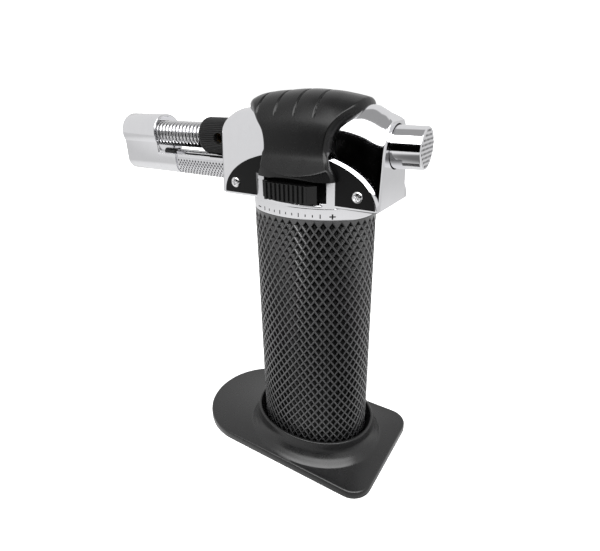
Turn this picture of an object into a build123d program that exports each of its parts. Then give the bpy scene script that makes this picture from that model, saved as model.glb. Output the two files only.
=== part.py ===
from build123d import *
import math
import os

# Butane torch standing in its base. Millimetres. +Z is up, the burner points to -X, the thumb
# button to +X. The origin is on the stand's underside, on the centre line of the handle.

# Clearances
TOUCH = 0.05           # between pieces fastened to each other
RUNNING = 0.06         # radial, shaft in bore
SLIDING = 0.35         # round a sliding or rotating outside surface

# Handle
GRIP_A, GRIP_B = 25.0, 19.0            # half lengths of the handle's oval along X and Y
GRIP_SWELL = 1.016                     # the oval grows this much towards the bottom
GRIP_Z0, GRIP_Z1 = 5.0, 115.3
GRIP_WALL = 1.8
TANK_WALL = 1.6
TANK_Z1 = 108.0

# Stand
PLATE_T = 4.24
PLATE_HALF = 28.3
PLATE_NOSE_X = -31.2                   # centre of the round front end
PLATE_REAR_X = 39.2
PLATE_CORNER = 8.5
SOCKET_Z0 = 3.0                        # floor that the handle stands on
SOCKET_GAP = 0.4
COLLAR_Z1 = 14.6
COLLAR_WALL = 3.3
COLLAR_FLARE = 3.6                     # radius of the concave foot of the collar

# Head
HEAD_Z0 = 120.0
HEAD_FRONT_X, HEAD_REAR_X = -37.0, 32.65
HEAD_FOOT_HALF, HEAD_TOP_HALF = 12.8, 11.0
HEAD_SPRING_Z = 142.4                  # where the arched top starts
HEAD_WALL = 1.4
CHEEK_Y = 14.6                         # face of the raised side cheeks
CHEEK_A, CHEEK_B, CHEEK_X = 32.9, 18.3, -0.3
PANEL_DEPTH = 0.8
PANEL_MARGIN = 0.9                     # plated lip below the black panel
PANEL_RIM = 0.55                       # plated rim round its arch
TOWER_Z1 = 129.6
SCREW_X = (-27.2, 25.5)
SCREW_Z = 124.9

# Burner, guard and button share one axis
AXIS_Z = 140.0
RING_R, RING_X0, RING_X1 = 7.64, -53.0, -37.4
AIR_HOLE_X, AIR_HOLE_R = -41.5, 2.0
BASE_R = 5.0
TUBE_R, TUBE_WALL, TUBE_X0 = 4.3, 0.7, -90.0
COIL_R, COIL_WIRE, COIL_PITCH, COIL_X0, COIL_X1 = 4.98, 0.58, 2.15, -86.0, -54.1
ROD_Y, ROD_Z = 2.5, 131.2              # ignition electrode, below the burner
GUARD_R, GUARD_WALL = 8.25, 0.9
GUARD_HALF, GUARD_Z0 = 7.4, 123.0
GUARD_X0, GUARD_HOOD_X1, GUARD_X1 = -102.0, -79.0, -28.0
ARM_Z1, ARM_WALL = 132.0, 1.2
THUMB_X0, THUMB_Z1, THUMB_T = -67.0, 130.6, 0.8
BUTTON_R, BUTTON_TAPER, BUTTON_X0, BUTTON_X1 = 7.0, 0.25, 27.0, 43.0
BUTTON_TRAVEL = 4.0

# Flame control
SLOT_X0, SLOT_X1, SLOT_Z0, SLOT_Z1 = -11.2, 14.4, 121.6, 128.8
WHEEL_TEETH, GEAR_MODULE = 12, 1.0
PITCH_R = WHEEL_TEETH * GEAR_MODULE / 2
GEAR_Z0, GEAR_Z1 = 122.0, 124.3
TOOTH_HALF = 0.635                     # half thickness on the pitch line, with backlash
VALVE_LIFT_SLOPE = 0.4                 # valve lift for each mm of button travel


def oval(a, b, z0, z1):
    """An upright oval block on the handle's centre line."""
    return Pos(0, 0, z0) * extrude(Ellipse(a, b), z1 - z0)


def upright(r, z0, z1, x=0, y=0):
    return Pos(x, y, (z0 + z1) / 2) * Cylinder(r, z1 - z0)


def rod(r, x0, x1, y=0, z=AXIS_Z):
    return Pos((x0 + x1) / 2, y, z) * Rot(0, 90, 0) * Cylinder(r, x1 - x0)


def cross_rod(r, y0, y1, x, z):
    return Pos(x, (y0 + y1) / 2, z) * Rot(90, 0, 0) * Cylinder(r, y1 - y0)


def block(x0, x1, y0, y1, z0, z1):
    return Pos((x0 + x1) / 2, (y0 + y1) / 2, (z0 + z1) / 2) * Box(x1 - x0, y1 - y0, z1 - z0)


def along_x(section, x0, x1):
    """Push a section drawn in Y and Z from x0 to x1."""
    plane = Plane(origin=(x0, 0, 0), x_dir=(0, 1, 0), z_dir=(1, 0, 0))
    return extrude(plane * section, x1 - x0, dir=(1, 0, 0))


def along_y(section, y0, y1):
    """Push a side view drawn in X and Z from y1 back to y0."""
    plane = Plane(origin=(0, y1, 0), x_dir=(1, 0, 0), z_dir=(0, -1, 0))
    return extrude(plane * section, y1 - y0, dir=(0, -1, 0))


def spring(radius, wire, pitch, start, height, direction):
    """A round-wire coil whose ends stop short of start and start + height by the wire's radius."""
    axis = Vector(*direction)
    centre = Vector(*start) + axis * wire
    path = Helix(pitch, height - 2 * wire, radius, center=centre, direction=direction)
    section = Plane(origin=path @ 0, z_dir=path % 0) * Circle(wire)
    return sweep(section, path=path, is_frenet=True)


def hose(points, radius, bore=0.0):
    """A round tube along straight runs joined by arcs as large as the runs allow."""
    spots = [Vector(*p) for p in points]
    runs = [b - a for a, b in zip(spots, spots[1:])]
    radii = []
    for before, after in zip(runs, runs[1:]):
        half_turn = math.radians(before.get_angle(after)) / 2
        radii.append(0.45 * min(before.length, after.length) / math.tan(half_turn))
    path = FilletPolyline(*spots, radius=radii)
    plane = Plane(origin=spots[0], z_dir=runs[0])
    solid = sweep(plane * Circle(radius), path=path)
    if bore:
        solid -= sweep(plane * Circle(bore), path=path)
    return solid


# ---- stand ----

def make_stand():
    middle = (PLATE_NOSE_X + PLATE_REAR_X) / 2
    outline = Pos(middle, 0) * Rectangle(PLATE_REAR_X - PLATE_NOSE_X, 2 * PLATE_HALF)
    outline += Pos(PLATE_NOSE_X, 0) * Circle(PLATE_HALF)
    outline = fillet(outline.vertices().group_by(Axis.X)[-1], PLATE_CORNER)
    plate = extrude(outline, PLATE_T)
    plate = fillet(plate.edges().group_by(Axis.Z)[-1], 1.0)
    socket_a = GRIP_A * GRIP_SWELL + SOCKET_GAP
    socket_b = GRIP_B * GRIP_SWELL + SOCKET_GAP
    stand = plate + oval(socket_a + COLLAR_WALL, socket_b + COLLAR_WALL, PLATE_T / 2, COLLAR_Z1)
    rings = []
    for step in range(6):
        climb = COLLAR_FLARE * step / 5
        spread = COLLAR_FLARE - math.sqrt(COLLAR_FLARE**2 - (COLLAR_FLARE - climb) ** 2)
        a, b = socket_a + COLLAR_WALL + spread, socket_b + COLLAR_WALL + spread
        rings.append(Pos(0, 0, PLATE_T - 0.02 + climb) * Ellipse(a, b))
    stand += loft(rings)
    return stand - oval(socket_a, socket_b, SOCKET_Z0, COLLAR_Z1 + 1)


# ---- handle ----

def make_grip_sleeve():
    foot = Pos(0, 0, GRIP_Z0) * Ellipse(GRIP_A * GRIP_SWELL, GRIP_B * GRIP_SWELL)
    top = Pos(0, 0, GRIP_Z1) * Ellipse(GRIP_A, GRIP_B)
    return loft([foot, top]) - oval(GRIP_A - GRIP_WALL, GRIP_B - GRIP_WALL, GRIP_Z0 - 1, GRIP_Z1 + 1)


def make_base_cap():
    cap = oval(GRIP_A * GRIP_SWELL, GRIP_B * GRIP_SWELL, SOCKET_Z0 + 0.1, GRIP_Z0)
    return cap - upright(4.2, 0, GRIP_Z0 + 1)


TANK_A = GRIP_A - GRIP_WALL - 3 * TOUCH
TANK_B = GRIP_B - GRIP_WALL - 3 * TOUCH
TANK_Z0 = GRIP_Z0 + 0.2
TANK_FLOOR_Z = TANK_Z0 + 2.4


def make_fuel_tank():
    tank = oval(TANK_A, TANK_B, TANK_Z0, TANK_Z1)
    tank -= oval(TANK_A - TANK_WALL, TANK_B - TANK_WALL, TANK_FLOOR_Z, TANK_Z1 + 1)
    return tank - upright(3.65, 0, TANK_FLOOR_Z + 1)


def make_tank_cap():
    lid = oval(TANK_A, TANK_B, TANK_Z1, TANK_Z1 + 1.8)
    lid += oval(TANK_A - TANK_WALL - TOUCH, TANK_B - TANK_WALL - TOUCH, TANK_Z1 - 3, TANK_Z1)
    return lid - upright(4.05, TANK_Z1 - 5, TANK_Z1 + 5)


# ---- filling valve, in the handle's foot ----

FILL_BORE, FILL_CHAMBER = 1.3, 2.6
FILL_CHAMBER_Z0, FILL_CHAMBER_Z1 = 9.0, 14.0


def make_fill_valve_body():
    body = upright(3.6, 3.4, 15.0)
    body -= upright(FILL_BORE, 3.0, 10.0)
    body -= upright(FILL_CHAMBER, FILL_CHAMBER_Z0, FILL_CHAMBER_Z1)
    return body - upright(0.8, 13.0, 16.0)


def make_fill_valve_stem():
    stem = upright(FILL_BORE - RUNNING, 3.6, 10.0) + upright(2.2, 10.0, 11.0)
    return stem - upright(0.5, 3.0, 8.0)


def make_fill_valve_seal():
    return upright(2.2, FILL_CHAMBER_Z0 + 0.05, 9.95) - upright(FILL_BORE, 9.0, 10.0)


def make_fill_valve_spring():
    return spring(1.8, 0.25, 0.9, (0, 0, 11.0), FILL_CHAMBER_Z1 - 11.0, (0, 0, 1))


# ---- outlet valve and flame control, on top of the tank ----

CHAMBER_Z0, CHAMBER_Z1 = 105.5, 112.0
FLANGE_Z0 = 126.6
VALVE_TOP_Z = 124.9
STEM_R = 1.5
NIPPLE_R = 0.8


def make_outlet_valve_body():
    body = upright(4.0, 104.0, GEAR_Z0 - 0.1) + upright(3.0, GEAR_Z0 - 0.2, VALVE_TOP_Z)
    body -= upright(3.0, CHAMBER_Z0, CHAMBER_Z1)
    body -= upright(STEM_R + RUNNING, CHAMBER_Z1 - 1, VALVE_TOP_Z + 1)
    return body - upright(0.6, 103.0, CHAMBER_Z0 + 1)


def make_outlet_valve_stem():
    stem = upright(2.2, 106.6, 107.8) + upright(STEM_R, 107.0, 127.0)
    return stem + upright(3.0, FLANGE_Z0, 127.4) + upright(NIPPLE_R, 127.0, 132.0)


def make_outlet_valve_seal():
    return upright(2.2, CHAMBER_Z0 + 0.1, 106.55)


def make_outlet_valve_spring():
    return spring(2.2, 0.3, 1.1, (0, 0, 107.8), CHAMBER_Z1 - 107.8, (0, 0, 1))


def tooth(root_half, tip_half, root, tip):
    """A straight-sided tooth pointing to +Y."""
    return Polyline((-root_half, root), (root_half, root), (tip_half, tip), (-tip_half, tip), close=True)


def make_regulator_wheel():
    root, tip = PITCH_R - 1.2, PITCH_R + 0.8
    profile = Circle(root + 0.1)
    for index in range(WHEEL_TEETH):
        one = make_face(tooth(TOOTH_HALF + 0.25, TOOTH_HALF - 0.3, root, tip))
        profile += Rot(0, 0, 180 + index * 360 / WHEEL_TEETH) * one
    wheel = Pos(0, 0, GEAR_Z0) * extrude(profile, GEAR_Z1 - GEAR_Z0)
    return wheel - upright(3.0 + RUNNING, GEAR_Z0 - 1, GEAR_Z1 + 1)


RACK_Y = -PITCH_R - 1.1                # face that the rack's teeth stand on
RACK_BACK_Y = RACK_Y - 2.0


def make_flame_slider():
    pitch = math.pi * GEAR_MODULE
    pad = block(-8.0, 9.3, -22.0, -18.9, 122.0, 128.2)
    root = block(-10.8, 11.0, -19.0, -11.0, 122.0, 128.2)
    web = block(-4.0, 4.0, -11.1, RACK_BACK_Y, 122.3, 126.5)
    rack = block(-3.1 * pitch, 2.1 * pitch, RACK_BACK_Y - 0.1, RACK_Y, GEAR_Z0, GEAR_Z1)
    slider = pad + root + web + rack
    for index in range(-3, 2):
        profile = make_face(tooth(TOOTH_HALF + 0.4, TOOTH_HALF - 0.3, -0.1, 1.9))
        place = Pos((index + 0.5) * pitch, RACK_Y, GEAR_Z0)
        slider += place * extrude(profile, GEAR_Z1 - GEAR_Z0)
    return slider


def make_gas_hose():
    corner_z = AXIS_Z
    turn = 6.0
    path = FilletPolyline((0, 0, 129.2), (0, 0, corner_z), (-25.8, 0, corner_z), radius=turn)
    plane = Plane(origin=(0, 0, 129.2), z_dir=(0, 0, 1))
    return sweep(plane * Circle(1.6), path=path) - sweep(plane * Circle(0.86), path=path)


# ---- head ----

def arch_section(inset=0.0):
    foot = HEAD_FOOT_HALF - inset
    top = HEAD_TOP_HALF - inset
    floor = HEAD_Z0 + inset
    sides = Polyline((-top, HEAD_SPRING_Z), (-foot, floor), (foot, floor), (top, HEAD_SPRING_Z))
    crown = ThreePointArc((top, HEAD_SPRING_Z), (0, HEAD_SPRING_Z + top), (-top, HEAD_SPRING_Z))
    return make_face(sides + crown)


def side_profile(inset=0.0):
    front, rear, floor = HEAD_FRONT_X + inset, HEAD_REAR_X - inset, HEAD_Z0 + inset
    brow_z, crest_z, tail_z = 146.5, 153.2 - inset, 148.3 - inset
    brow = ThreePointArc((front, brow_z), (front + 1.7, 151.3 - inset), (-29.0, crest_z))
    crest = Line((-29.0, crest_z), (23.0, crest_z))
    tail = ThreePointArc((23.0, crest_z), (28.8, 151.3 - inset), (rear, tail_z))
    below = Polyline((rear, tail_z), (rear, floor), (front, floor), (front, brow_z))
    return make_face(brow + crest + tail + below)


def head_form(inset=0.0):
    length = along_x(arch_section(inset), HEAD_FRONT_X + inset, HEAD_REAR_X - inset)
    return length & along_y(side_profile(inset), -20, 20)


def half_oval(a, b, x, z):
    """The upper half of an oval, as a side view."""
    return (Pos(x, z) * Ellipse(a, b)) & (Pos(x, z + b / 2) * Rectangle(3 * a, b))


def cheek_form(grow=0.0):
    shape = half_oval(CHEEK_A + grow, CHEEK_B + grow, CHEEK_X, HEAD_Z0)
    return along_y(shape, -CHEEK_Y - grow, CHEEK_Y + grow)


def panel_form(shrink, y0, y1):
    floor = HEAD_Z0 + PANEL_MARGIN + shrink
    margin = PANEL_RIM + shrink
    shape = half_oval(CHEEK_A - margin, CHEEK_B - PANEL_MARGIN - margin, CHEEK_X, floor)
    return along_y(shape, y0, y1)


def slider_slot():
    return block(SLOT_X0, SLOT_X1, -30, RACK_BACK_Y + 0.5, SLOT_Z0, SLOT_Z1)


def web_section(inset, top_z):
    """The guard's flat-sided lower part, round at the bottom."""
    half, floor = GUARD_HALF - inset, GUARD_Z0 + inset
    middle = (floor + top_z) / 2
    shape = Pos(0, middle) * Rectangle(2 * half, top_z - floor)
    return fillet(shape.vertices().group_by(Axis.Y)[0], 4.8 - inset)


def make_head_housing():
    head = head_form() + cheek_form() + rod(8.9, 24.0, 33.2)
    head -= head_form(HEAD_WALL)
    head -= rod(BUTTON_R + BUTTON_TAPER + 0.3, 28.0, 34.0)
    head -= rod(BASE_R + SLIDING, HEAD_FRONT_X - 1, HEAD_FRONT_X + 2)
    head -= along_x(web_section(-SLIDING, ARM_Z1 + SLIDING), HEAD_FRONT_X - 1, HEAD_FRONT_X + 2)
    head -= rod(1.2 + 0.15, HEAD_FRONT_X - 1, HEAD_FRONT_X + 2, ROD_Y, ROD_Z)
    head -= slider_slot()
    head -= upright(8.5, HEAD_Z0 - 1, HEAD_Z0 + 2)
    for x in NECK_SCREW_X:
        head -= upright(1.6, HEAD_Z0 - 1, HEAD_Z0 + 2, x)
    for y0, y1 in ((CHEEK_Y - PANEL_DEPTH, CHEEK_Y + 1), (-CHEEK_Y - 1, -CHEEK_Y + PANEL_DEPTH)):
        head -= panel_form(0.0, y0, y1)
    for x in SCREW_X:
        head -= cross_rod(1.25, -CHEEK_Y - 1, CHEEK_Y + 1, x, SCREW_Z)
    return head


def make_cheek_panel(side):
    inner, outer = side * (CHEEK_Y - PANEL_DEPTH + TOUCH), side * CHEEK_Y
    panel = panel_form(0.12, min(inner, outer), max(inner, outer))
    for x in SCREW_X:
        panel -= cross_rod(1.35, -20, 20, x, SCREW_Z)
    return panel - slider_slot()


def make_cheek_screws():
    screws = []
    for side in (-1, 1):
        for x in SCREW_X:
            shank = cross_rod(1.2, min(side * 9.2, side * 15.0), max(side * 9.2, side * 15.0), x, SCREW_Z)
            near, far = sorted((side * (CHEEK_Y + TOUCH), side * (CHEEK_Y + 0.9)))
            screws.append(shank + cross_rod(1.95, near, far, x, SCREW_Z))
    return Compound(children=screws)


NECK_SCREW_X = (-14.0, 14.0)
NECK_PLATE_Z = 118.6


def make_neck_screws():
    screws = []
    for x in NECK_SCREW_X:
        head = upright(2.5, HEAD_Z0 + HEAD_WALL + TOUCH, HEAD_Z0 + HEAD_WALL + 1.0, x)
        screws.append(head + upright(1.2, 114.0, HEAD_Z0 + HEAD_WALL + 0.5, x))
    return Compound(children=screws)


def make_neck_collar():
    collar = oval(GRIP_A, GRIP_B, GRIP_Z1, HEAD_Z0) + oval(TANK_A, TANK_B, 110.2, GRIP_Z1)
    collar -= oval(TANK_A - 2, TANK_B - 2, 110.0, NECK_PLATE_Z)
    for x in NECK_SCREW_X:
        collar += upright(3.0, 112.0, NECK_PLATE_Z + 0.5, x)
    towers = oval(GRIP_A, GRIP_B, HEAD_Z0 - 0.5, TOWER_Z1)
    towers -= block(-30, 30, -CHEEK_Y - TOUCH, CHEEK_Y + TOUCH, HEAD_Z0 - 1, TOWER_Z1 + 1)
    collar = collar + towers - slider_slot() - upright(8.5, NECK_PLATE_Z - 1, HEAD_Z0 + 1)
    for x in NECK_SCREW_X:
        collar -= upright(1.25, 110.0, HEAD_Z0 + 1, x)
    return collar


def make_saddle_grip():
    """Soft cover over the head: waisted in side view, with a lip above the flame slider."""
    front_top, rear_top = (-28.6, 151.6), (24.2, 154.2)
    front_low, rear_low = (-14.8, 128.5), (18.4, 128.5)
    crest = Spline(front_top, (-24.3, 155.6), (-10.3, 158.2), (0.5, 158.7), (12.0, 157.8), rear_top)
    rear = Spline(rear_top, (17.5, 149.0), (13.6, 141.0), (15.0, 134.0), rear_low)
    front = Spline(front_low, (-14.4, 137.0), (-16.4, 146.0), (-20.5, 150.2), front_top)
    side = make_face(crest + rear + Line(rear_low, front_low) + front)
    shoulder, waist, lip, tuck = (13.4, 147.0), (14.9, 140.0), (20.2, 131.0), (14.7, 129.8)
    crown = Spline((-13.4, 147.0), (-11.2, 153.5), (-6.4, 157.2), (0, 158.4), (6.4, 157.2), (11.2, 153.5), shoulder)
    right = Spline(shoulder, waist, (16.6, 134.4), lip)
    left = mirror(right, Plane.YZ)
    under = Polyline(lip, tuck, (-tuck[0], tuck[1]), (-lip[0], lip[1]))
    section = make_face(crown + right + left + under)
    plan = Pos(1.7, 0, 120) * extrude(Ellipse(30.6, 20.2), 50)
    cover = along_y(side, -25, 25) & along_x(section, -40, 40) & plan
    cover = cover - head_form(-TOUCH) - cheek_form(TOUCH)
    return cover.solids().sort_by(SortBy.VOLUME)[-1]


# ---- ignition ----

PIEZO_X0, PIEZO_X1 = 3.0, 24.0
PLUNGER_R = 2.0


def make_ignition_button():
    length = BUTTON_X1 - BUTTON_X0
    cap = Pos((BUTTON_X0 + BUTTON_X1) / 2, 0, AXIS_Z) * Rot(0, 90, 0)
    cap = cap * Cone(BUTTON_R + BUTTON_TAPER, BUTTON_R, length)
    cap = fillet(cap.edges().group_by(Axis.X)[-1], 0.5)
    cap -= rod(BUTTON_R - 1.1, BUTTON_X0 - 1, BUTTON_X1 - 1.2)
    return cap + rod(2.4, 29.1, BUTTON_X1 - 1)


def make_valve_cam():
    """The button's foot: a forked ramp that lifts the outlet valve as the button goes in."""
    gap = 0.15
    tip_x, heel_x = 0.2, 8.0
    flange_x = 3.0

    def ramp_z(x):
        return FLANGE_Z0 - gap + VALVE_LIFT_SLOPE * (x - flange_x)

    profile = Polyline(
        (tip_x, 125.1), (10.0, 125.1), (12.5, 128.7), (BUTTON_X0, 128.7), (BUTTON_X0, 134.2),
        (25.2, 134.2), (25.2, 131.0), (10.0, 131.0), (heel_x, ramp_z(heel_x)), (tip_x, ramp_z(tip_x)),
        close=True,
    )
    cam = along_y(make_face(profile), -3.4, 3.4)
    return cam - block(-1.0, 6.8, -STEM_R - 0.25, STEM_R + 0.25, 120, 140)


def make_piezo_igniter():
    case = block(PIEZO_X0, PIEZO_X1 - 1, -3.5, 3.5, AXIS_Z - 4.5, AXIS_Z + 4.5)
    case = fillet(case.edges().filter_by(Axis.X), 1.0)
    case += rod(5.5, PIEZO_X1 - 1.5, PIEZO_X1)
    return case - rod(PLUNGER_R + RUNNING, 15.0, PIEZO_X1 + 1)


def make_piezo_plunger():
    return rod(PLUNGER_R, 20.0, 29.05)


def make_piezo_cradle():
    x0, x1 = 8.0, 18.0
    cradle = block(x0, x1, -12, 12, 134.8, 147.0) & along_x(arch_section(HEAD_WALL + TOUCH), x0, x1)
    return cradle - block(x0 - 1, x1 + 1, -3.5 - TOUCH, 3.5 + TOUCH, AXIS_Z - 4.55, AXIS_Z + 4.55)


def make_button_spring():
    return spring(4.9, 0.4, 2.6, (PIEZO_X1, 0, AXIS_Z), BUTTON_X1 - 1.2 - PIEZO_X1, (1, 0, 0))


LEAD_ROUTE = (
    (PIEZO_X0 - TOUCH, 2.6, 142.6),
    (-5.0, 2.6, 142.6),
    (-15.0, 5.2, 141.4),
    (-22.5, 5.2, 137.4),
    (-25.6, 3.6, 132.6),
    (-28.6, ROD_Y, ROD_Z),
    (-31.0 + TOUCH, ROD_Y, ROD_Z),
)


def make_ignition_lead():
    return hose(LEAD_ROUTE, 0.8)


def make_electrode_rod():
    return rod(1.2, -77.0, -31.0, ROD_Y, ROD_Z)


def make_electrode_insulator():
    return rod(1.7, -84.0, -77.0, ROD_Y, ROD_Z) - rod(0.55, -85.0, -76.0, ROD_Y, ROD_Z)


def make_electrode_tip():
    points = ((-77.1, ROD_Y, ROD_Z), (-88.6, ROD_Y, ROD_Z), (-89.6, 1.2, 134.6))
    path = FilletPolyline(*points, radius=1.2)
    return sweep(Plane(origin=points[0], z_dir=(-1, 0, 0)) * Circle(0.5), path=path)


# ---- burner ----

def make_jet_holder():
    holder = rod(TUBE_R, -38.5, -26.0) + rod(1.6, -46.0, -38.0) + rod(NIPPLE_R, -26.5, -21.0)
    return holder - rod(0.35, -47.0, -20.0)


def make_burner_base():
    base = rod(BASE_R, -54.0, -32.0) + rod(6.4, -34.4, -32.2)
    base -= rod(TUBE_R + TOUCH, -55.0, -31.0)
    return base - cross_rod(AIR_HOLE_R, -10, 10, AIR_HOLE_X, AXIS_Z)


def make_burner_tube():
    return rod(TUBE_R, TUBE_X0, -47.0) - rod(TUBE_R - TUBE_WALL, TUBE_X0 - 1, -46.0)


def make_flame_holder():
    disc = rod(TUBE_R - TUBE_WALL - TOUCH, -86.0, -84.5) - rod(0.6, -87, -84)
    for index in range(6):
        angle = index * math.pi / 3
        disc -= rod(0.6, -87, -84, 2.2 * math.cos(angle), AXIS_Z + 2.2 * math.sin(angle))
    return disc


def make_burner_coil():
    return spring(COIL_R, COIL_WIRE, COIL_PITCH, (COIL_X0, 0, AXIS_Z), COIL_X1 - COIL_X0, (1, 0, 0))


def make_air_ring():
    ring = rod(RING_R, RING_X0, RING_X1)
    ring = chamfer(ring.edges().group_by(Axis.X)[0], 0.8)
    ring -= rod(BASE_R + RUNNING, RING_X0 - 1, RING_X1 + 1)
    return ring - cross_rod(AIR_HOLE_R + 0.2, -10, 10, AIR_HOLE_X, AXIS_Z)


# ---- sliding nozzle guard ----

def thumb_form(clear=0.0):
    """A U-shaped sleeve round the lower half of the guard's arm."""
    sleeve = along_x(web_section(0.0, THUMB_Z1 + clear), THUMB_X0 - clear, GUARD_X1 - 1 + clear)
    return sleeve - along_x(web_section(THUMB_T + clear, THUMB_Z1 + 5), THUMB_X0 - 5, GUARD_X1 + 5)


def make_nozzle_guard():
    hood = rod(GUARD_R, GUARD_X0, GUARD_HOOD_X1) + along_x(web_section(0, AXIS_Z), GUARD_X0, GUARD_HOOD_X1)
    arm = along_x(web_section(0, ARM_Z1), GUARD_HOOD_X1 - 1, GUARD_X1)
    hood -= rod(GUARD_R - GUARD_WALL, GUARD_X0 - 1, GUARD_HOOD_X1 + 1)
    hood -= along_x(web_section(GUARD_WALL, AXIS_Z), GUARD_X0 - 1, GUARD_HOOD_X1 + 1)
    arm -= along_x(web_section(ARM_WALL + 0.6, ARM_Z1 + 1), GUARD_HOOD_X1 - 2, GUARD_X1 + 1)
    return hood + arm - thumb_form(TOUCH / 2)


PIECES = {
    "stand": make_stand,
    "base_cap": make_base_cap,
    "grip_sleeve": make_grip_sleeve,
    "fuel_tank": make_fuel_tank,
    "tank_cap": make_tank_cap,
    "fill_valve_body": make_fill_valve_body,
    "fill_valve_stem": make_fill_valve_stem,
    "fill_valve_seal": make_fill_valve_seal,
    "fill_valve_spring": make_fill_valve_spring,
    "outlet_valve_body": make_outlet_valve_body,
    "outlet_valve_stem": make_outlet_valve_stem,
    "outlet_valve_seal": make_outlet_valve_seal,
    "outlet_valve_spring": make_outlet_valve_spring,
    "regulator_wheel": make_regulator_wheel,
    "flame_slider": make_flame_slider,
    "gas_hose": make_gas_hose,
    "neck_collar": make_neck_collar,
    "neck_screws": make_neck_screws,
    "head_housing": make_head_housing,
    "cheek_panel_left": lambda: make_cheek_panel(-1),
    "cheek_panel_right": lambda: make_cheek_panel(1),
    "cheek_screws": make_cheek_screws,
    "saddle_grip": make_saddle_grip,
    "ignition_button": make_ignition_button,
    "button_spring": make_button_spring,
    "valve_cam": make_valve_cam,
    "piezo_igniter": make_piezo_igniter,
    "piezo_plunger": make_piezo_plunger,
    "piezo_cradle": make_piezo_cradle,
    "ignition_lead": make_ignition_lead,
    "electrode_rod": make_electrode_rod,
    "electrode_insulator": make_electrode_insulator,
    "electrode_tip": make_electrode_tip,
    "jet_holder": make_jet_holder,
    "burner_base": make_burner_base,
    "burner_tube": make_burner_tube,
    "flame_holder": make_flame_holder,
    "burner_coil": make_burner_coil,
    "air_ring": make_air_ring,
    "nozzle_guard": make_nozzle_guard,
    "guard_thumb_grip": thumb_form,
}

os.makedirs("parts", exist_ok=True)
for name, make in PIECES.items():
    export_step(make(), f"parts/{name}.step")
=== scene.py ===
import math

import bmesh
import bpy
from mathutils import Matrix, Vector


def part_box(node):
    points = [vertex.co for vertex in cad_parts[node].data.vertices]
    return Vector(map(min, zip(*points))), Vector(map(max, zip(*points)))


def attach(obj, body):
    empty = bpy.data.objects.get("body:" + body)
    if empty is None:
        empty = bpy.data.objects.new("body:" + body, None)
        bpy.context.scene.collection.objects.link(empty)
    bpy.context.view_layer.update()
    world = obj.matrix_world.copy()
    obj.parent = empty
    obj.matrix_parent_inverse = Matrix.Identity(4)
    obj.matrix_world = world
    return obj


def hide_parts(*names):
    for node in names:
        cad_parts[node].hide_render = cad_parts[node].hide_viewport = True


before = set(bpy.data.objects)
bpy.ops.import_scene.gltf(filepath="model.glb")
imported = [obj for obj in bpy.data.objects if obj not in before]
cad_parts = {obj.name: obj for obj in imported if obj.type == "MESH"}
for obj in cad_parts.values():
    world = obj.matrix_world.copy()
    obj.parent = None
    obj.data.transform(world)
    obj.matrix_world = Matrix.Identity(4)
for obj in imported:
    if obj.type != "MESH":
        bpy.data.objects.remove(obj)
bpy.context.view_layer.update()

# Butane torch in its stand. Lengths below are millimetres unless a name says otherwise; +Z is up,
# the burner points to -X, the thumb button to +X and the flame slider to -Y.
MM = 0.001


def span(node):
    """Lowest and highest corner of a CAD node, in millimetres."""
    low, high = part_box(node)
    return low / MM, high / MM


STAND_LO, STAND_HI = span("stand")
GRIP_LO, GRIP_HI = span("grip_sleeve")
HEAD_LO, HEAD_HI = span("head_housing")
COLLAR_HI = span("neck_collar")[1]
BUTTON_LO, BUTTON_HI = span("ignition_button")
RING_LO, RING_HI = span("air_ring")
GUARD_LO, GUARD_HI = span("nozzle_guard")
THUMB_LO, THUMB_HI = span("guard_thumb_grip")
SLIDER_LO = span("flame_slider")[0]
TUBE_LO, TUBE_HI = span("burner_tube")
SCREWS_LO, SCREWS_HI = span("cheek_screws")
AXIS_Z = (TUBE_LO.z + TUBE_HI.z) / 2   # burner, guard and button share this axis
OVAL_POWER = 2.17                      # 2 is an ellipse; the handle is a little squarer

# Head and neck
HEAD_FRONT_X, HEAD_REAR_X = HEAD_LO.x, 32.65
FRONT_ROUND, REAR_ROUND = 2.4, 1.3     # rounding of the head's two ends
HEAD_HALF, HEAD_FOOT = 11.0, 12.8      # half widths where the arched top starts and at the floor
SPRING_Z, REAR_SPRING_Z = 142.4, 136.0             # where the arched top starts
PEAK_Z, REAR_PEAK_Z = 153.4, 150.6     # top of the arch before the crest cuts it off
NOSE_X = -29.0                         # in front of this the crest drops in a quarter oval
NOSE_Z, NOSE_RISE, NOSE_REACH = 146.5, 5.3, 8.0
HEAD_WALL = 1.4
HEAD_CREST = [(NOSE_X, 151.8), (-24.0, 152.8), (-18.0, 153.3), (0.0, 153.35), (20.0, 153.35), (25.0, 153.0),
              (29.3, 150.9), (32.65, 148.3)]       # x and height, behind the nose
BAND_Z1 = HEAD_LO.z                    # top of the plated band under the head
TOWER_HALF_X = 17.0
SLOT_X0, SLOT_X1, SLOT_Z0, SLOT_Z1 = -11.2, 14.4, 121.6, 128.8     # window of the flame slider
MARK_COUNT = 10                        # ticks between the minus and the plus
CHEEK_Y = HEAD_HI.y                    # face of the side cheeks
SCREW_X = (-27.2, 25.5)
SCREW_Z = (SCREWS_LO.z + SCREWS_HI.z) / 2

# Guard and electrode
GUARD_HALF, GUARD_R, GUARD_CORNER = 7.4, 8.25, 4.8
THUMB_DEPTH = 0.8                      # how deep the knurled sleeve lies in the arm
ARM_TOP = 132.0
ROD_Y, ROD_Z = 2.5, 131.2


# ---- mesh helpers ----

def power_oval(a, b, angle, power=OVAL_POWER):
    """Point at angle on an oval of half lengths a and b."""
    c, s = math.cos(angle), math.sin(angle)
    reach = (abs(c) ** power + abs(s) ** power) ** (-1 / power)
    return a * reach * c, b * reach * s


def oval_reach(a, b, x):
    """Distance of that oval from the middle plane at x."""
    return b * (1 - abs(x / a) ** OVAL_POWER) ** (1 / OVAL_POWER)


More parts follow.
